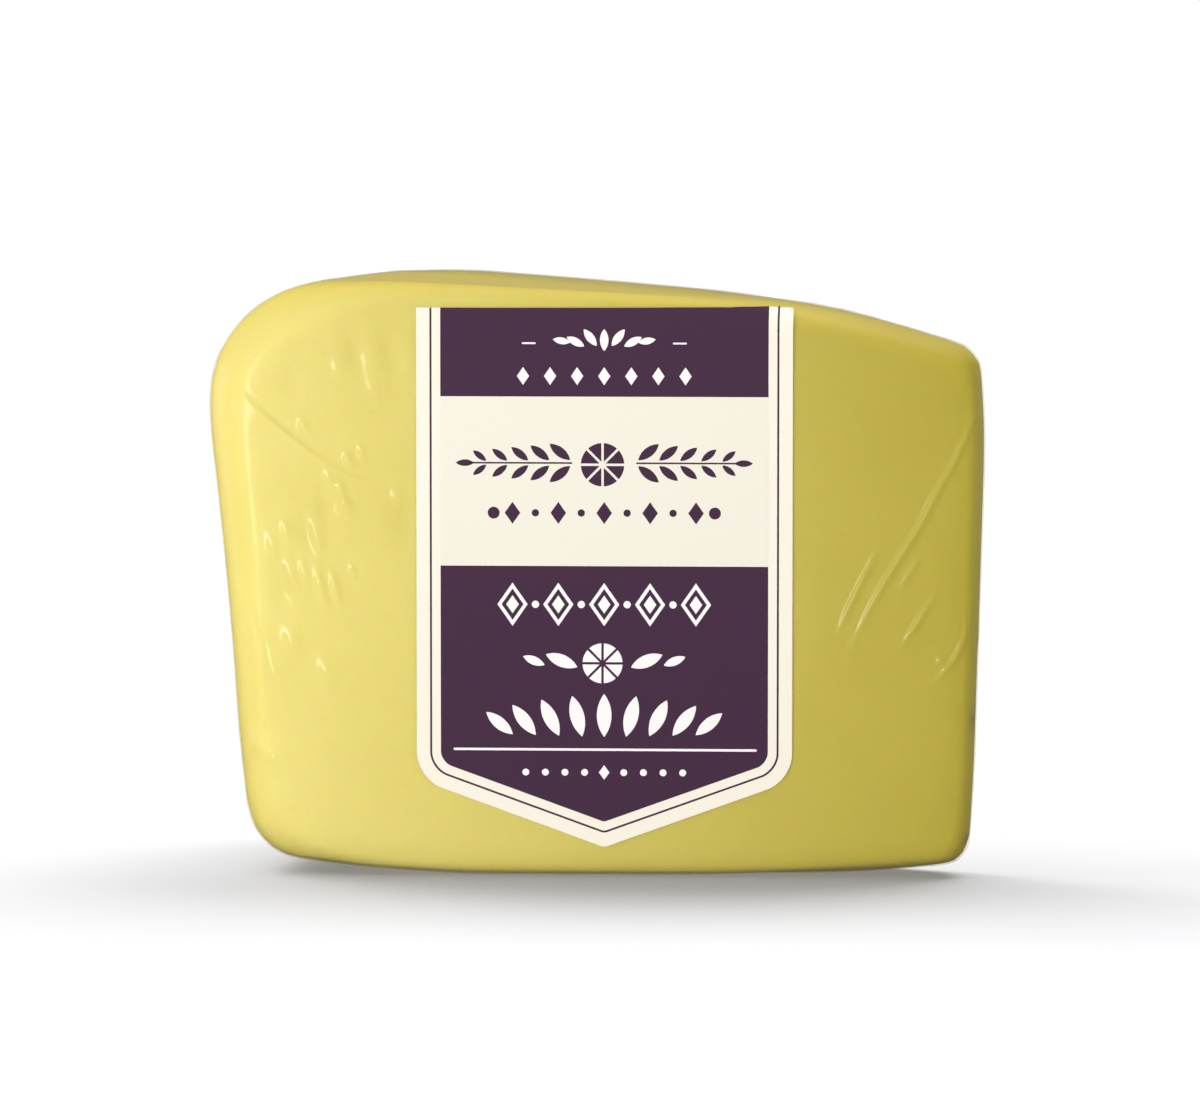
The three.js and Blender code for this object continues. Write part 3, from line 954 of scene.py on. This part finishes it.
def round_wheel(x, z):
    """The places of the slices of a wheel whose middle is at (x, z)."""
    return [(x, z, (turn + 0.5) * 360 / SLICES, 1.0) for turn in range(SLICES)]


def bar(length, height):
    bpy.ops.object.select_all(action="DESELECT")
    bpy.ops.mesh.primitive_plane_add(size=1, rotation=(math.pi / 2, 0, 0))
    piece = bpy.context.object
    piece.name = "bar"
    piece.scale = (length * MM, height * MM, 1)
    bpy.ops.object.transform_apply(location=True, rotation=True, scale=True)
    edit(piece, bpy.ops.mesh.bevel, affect="VERTICES", offset=height * 0.49 * MM, segments=3)
    return piece


# %% Copy a motif to its places
def stamp(motif, places):
    """Copies a motif to each (x, z, lean in degrees, size), and removes the first one."""
    copies = []
    for x, z, lean, size in places:
        copy = bpy.data.objects.new(motif.name, motif.data.copy())
        bpy.context.scene.collection.objects.link(copy)
        copy.location = Vector((LABEL_MIDDLE + x, SHEET_PLANE, z)) * MM
        copy.rotation_euler = (0, math.radians(lean), 0)
        copy.scale = (size, size, size)
        pick(copy)
        bpy.ops.object.transform_apply(location=True, rotation=True, scale=True)
        copies.append(copy)
    remove(motif)
    return copies


def joined(name, pieces, ink):
    pick(pieces[0])
    for piece in pieces:
        piece.select_set(True)
    bpy.ops.object.join()
    piece = bpy.context.object
    piece.name = name
    lay(piece, PRINT_LIFT + 0.02, PRINT_THICKNESS, cells=False)
    piece.data.materials.append(ink)
    return piece


def both_sides(rows):
    """Each place, and its mirror image on the other side of the middle line."""
    return rows + [(-x, z, -lean, size) for x, z, lean, size in rows if x]


# %% Light ornament on the dark fields
light = stamp(leaf(2.7, 1.05), both_sides([
    (0.0, 65.8, 0, 1.0), (1.7, 66.1, 38, 0.95), (3.5, 65.6, 62, 0.9), (5.2, 65.7, 80, 0.8),
]))
light += stamp(bar(1.7, 0.22), [(-9.2, 65.4, 0, 1.0), (9.2, 65.4, 0, 1.0)])
light += stamp(lozenge(1.5, 2.2), [(x, 61.4, 0, 1.0) for x in np.arange(-9.9, 10, 3.3)])
light += stamp(lozenge(3.7, 5.3, hollow=0.42), [(x, 33.5, 0, 1.0) for x in np.arange(-11.2, 12, 5.6)])
light += stamp(disc(0.9), [(x, 33.5, 0, 1.0) for x in np.arange(-8.4, 9, 5.6)])
light += stamp(slice_of_wheel(4.9), round_wheel(-0.2, 26.3))
light += stamp(leaf(5.2, 1.9), both_sides([(5.2, 26.6, 68, 0.8), (8.6, 26.6, 68, 0.55)]))
light += stamp(leaf(5.3, 1.8), both_sides([
    (0.0, 19.9, 0, 1.0), (3.3, 19.8, 14, 0.97), (6.6, 19.6, 26, 0.93), (9.8, 19.3, 38, 0.88),
    (12.8, 18.9, 50, 0.8),
]))
light += stamp(bar(37.1, 0.30), [(0.1, 15.7, 0, 1.0)])
light += stamp(disc(0.85), [(x, 12.9, 0, 1.0) for x in (-9.6, -7.2, -4.8, -2.4, 2.4, 4.8, 7.2, 9.6)])
light += stamp(lozenge(1.3, 1.8), [(0.0, 12.9, 0, 1.0)])
light_ornament = joined("print_light_ornament", light, white_ink)
print("Light ornament:", triangles(light_ornament), "triangles")

# %% Dark ornament on the cream panel
sprig = []
for step in range(5):
    x = 5.4 + step * 2.45
    size = 1.0 - step * 0.09
    sprig += [(x, 50.8 + 1.35 * size, 52, size), (x, 50.8 - 1.35 * size, 128, size)]
dark = stamp(leaf(3.2, 1.15), both_sides(sprig + [(17.0, 50.8, 90, 0.7)]))
dark += stamp(bar(12.6, 0.20), [(-10.2, 50.8, 0, 1.0), (10.2, 50.8, 0, 1.0)])
dark += stamp(slice_of_wheel(5.3), round_wheel(-0.2, 50.6))
dark += stamp(lozenge(1.9, 2.7), [(x, 44.7, 0, 1.0) for x in np.arange(-11.2, 12, 5.6)])
dark += stamp(disc(0.9), [(x, 44.7, 0, 1.0) for x in np.arange(-8.4, 9, 5.6)])
dark += stamp(disc(1.46), [(-13.5, 44.7, 0, 1.0), (13.5, 44.7, 0, 1.0)])
dark_ornament = joined("print_dark_ornament", dark, aubergine_ink)
print("Dark ornament:", triangles(dark_ornament), "triangles")

# %% [markdown]
# ## Light and floor
#
# A plain studio: a white floor, a white ground behind it, and a dim even surround. The key stands
# close on the front left, so the rind side is the brightest and the cut face darkens gently towards
# the nose. A soft box above it gives the film a faint sheen, and a narrow glint light farther off
# draws the bright lines along its folds. A low fill comes from the right. Two rim lights and an
# edge light stand beside and behind the pack, because the film mirrors what is beside it where it
# turns away: a pale rim at the rind and a beige one at the nose. The label has a light of its own,
# which keeps its cream clean.
#
# The floor has its own lights from above and behind, which draw the wide, short shadow. Neither
# floor, cheese nor label throws light on the others, because the photograph has a neutral shadow
# and no glare from below.

# %% Floor
bpy.ops.object.select_all(action="DESELECT")
bpy.ops.mesh.primitive_plane_add(size=200, location=(0, 0, 0))
floor = bpy.context.object
floor.name = "floor"
floor_paint, tree = new_material("white_studio_floor_painted")
place = node(tree, "ShaderNodeTexCoord").outputs["Object"]
mottle = node(tree, "ShaderNodeTexNoise", {"Scale": 3.0}, {"Vector": place})
colour = node(
    tree, "ShaderNodeMix", {6: linear("#F6F6F8"), 7: linear("#F8F8FA")},
    {"Factor": mottle.outputs["Fac"]}, data_type="RGBA",
)
shader = node(tree, "ShaderNodeBsdfPrincipled", {"Roughness": 0.7}, {"Base Color": colour.outputs[2]})
node(tree, "ShaderNodeOutputMaterial", {}, {"Surface": shader.outputs[0]})
floor.data.materials.append(floor_paint)
floor.visible_diffuse = False
floor.visible_glossy = False
print("Made", floor_paint.name)

# %% Surround
world = bpy.data.worlds.new("studio")
bpy.context.scene.world = world
world.use_nodes = True
tree = world.node_tree
tree.nodes.clear()
dim = node(tree, "ShaderNodeBackground", {"Color": (1.0, 1.0, 1.0, 1.0), "Strength": 0.15})
white = node(tree, "ShaderNodeBackground", {"Color": (1.0, 1.0, 1.0, 1.0), "Strength": 1.0})
seen = node(tree, "ShaderNodeLightPath")
both = node(
    tree, "ShaderNodeMixShader", {},
    {0: seen.outputs["Is Camera Ray"], 1: dim.outputs[0], 2: white.outputs[0]},
)
node(tree, "ShaderNodeOutputWorld", {}, {"Surface": both.outputs[0]})
bpy.context.scene.view_settings.view_transform = "Standard"
print("Surround:", world.name)


# %% Soft lights
def shine_on(lamp, pieces):
    receivers = bpy.data.collections.new("lit_by_" + lamp.name)
    for piece in pieces:
        receivers.objects.link(piece)
    lamp.light_linking.receiver_collection = receivers


def soft_light(name, place, aim, size, power, lights_up, gloss=True):
    """An area light that shines on some pieces only, with or without its own reflection in them."""
    bpy.ops.object.light_add(type="AREA", location=Vector(place) * MM)
    lamp = bpy.context.object
    lamp.name = name
    lamp.rotation_euler = (Vector(aim) * MM - lamp.location).to_track_quat("-Z", "Y").to_euler()
    lamp.data.shape = "RECTANGLE"
    lamp.data.size = size[0] * MM
    lamp.data.size_y = size[1] * MM
    lamp.data.energy = power
    lamp.visible_glossy = gloss
    lamp.visible_camera = False
    shine_on(lamp, lights_up)


paper_and_print = [label, top_band, cream_panel, lower_field, keyline, light_ornament, dark_ornament]
wrapped_cheese = [film, cheese]
whole_pack = wrapped_cheese + paper_and_print
soft_light("key_light", (-95, -172, 36), (-20, -20, 30), (150, 110), 0.385, wrapped_cheese, gloss=False)
soft_light("soft_box", (-150, -260, 290), (0, -20, 36), (240, 160), 0.08, whole_pack)
soft_light("glint_light", (-215, -375, 60), (-20, -20, 36), (60, 150), 0.15, wrapped_cheese)
soft_light("fill_light", (330, -320, 15), (0, -20, 20), (500, 120), 0.70, wrapped_cheese, gloss=False)
soft_light("rind_rim_light", (-330, 60, 60), (-45, -10, 36), (260, 160), 0.25, wrapped_cheese)
soft_light("nose_rim_light", (330, 120, 40), (47, -20, 36), (360, 160), 0.11, wrapped_cheese)
soft_light("rind_edge_light", (-200, 500, 45), (-45, -10, 36), (200, 160), 0.17, wrapped_cheese)
soft_light("label_light", (-60, -420, 120), (0, -20, 36), (300, 240), 1.56, paper_and_print, gloss=False)
for piece in paper_and_print:
    piece.visible_diffuse = False


# %% Light from above
def sun(name, towards, energy, spread, lights_up):
    """Parallel light from above, softened as if it came from that wide a patch of sky, in degrees."""
    bpy.ops.object.light_add(type="SUN")
    lamp = bpy.context.object
    lamp.name = name
    lamp.rotation_euler = Vector(towards).to_track_quat("-Z", "Y").to_euler()
    lamp.data.energy = energy
    lamp.data.angle = math.radians(spread)
    lamp.visible_glossy = False
    shine_on(lamp, lights_up)


sun("overhead_light", (0.02, -0.48, -0.85), 2.80, 40, whole_pack)
sun("sky_light", (0.0, 0.0, -1.0), 1.0, 160, whole_pack)
sun("floor_light_left", (0.34, -0.48, -0.85), 0.90, 40, [floor])
sun("floor_light_right", (-0.30, -0.48, -0.85), 1.40, 40, [floor])
sun("floor_light_side", (0.72, -0.27, -0.62), 1.70, 50, [floor])
sun("floor_light_sky", (0.0, 0.0, -1.0), 0.35, 160, [floor])

# %% Tidy
remove(form)
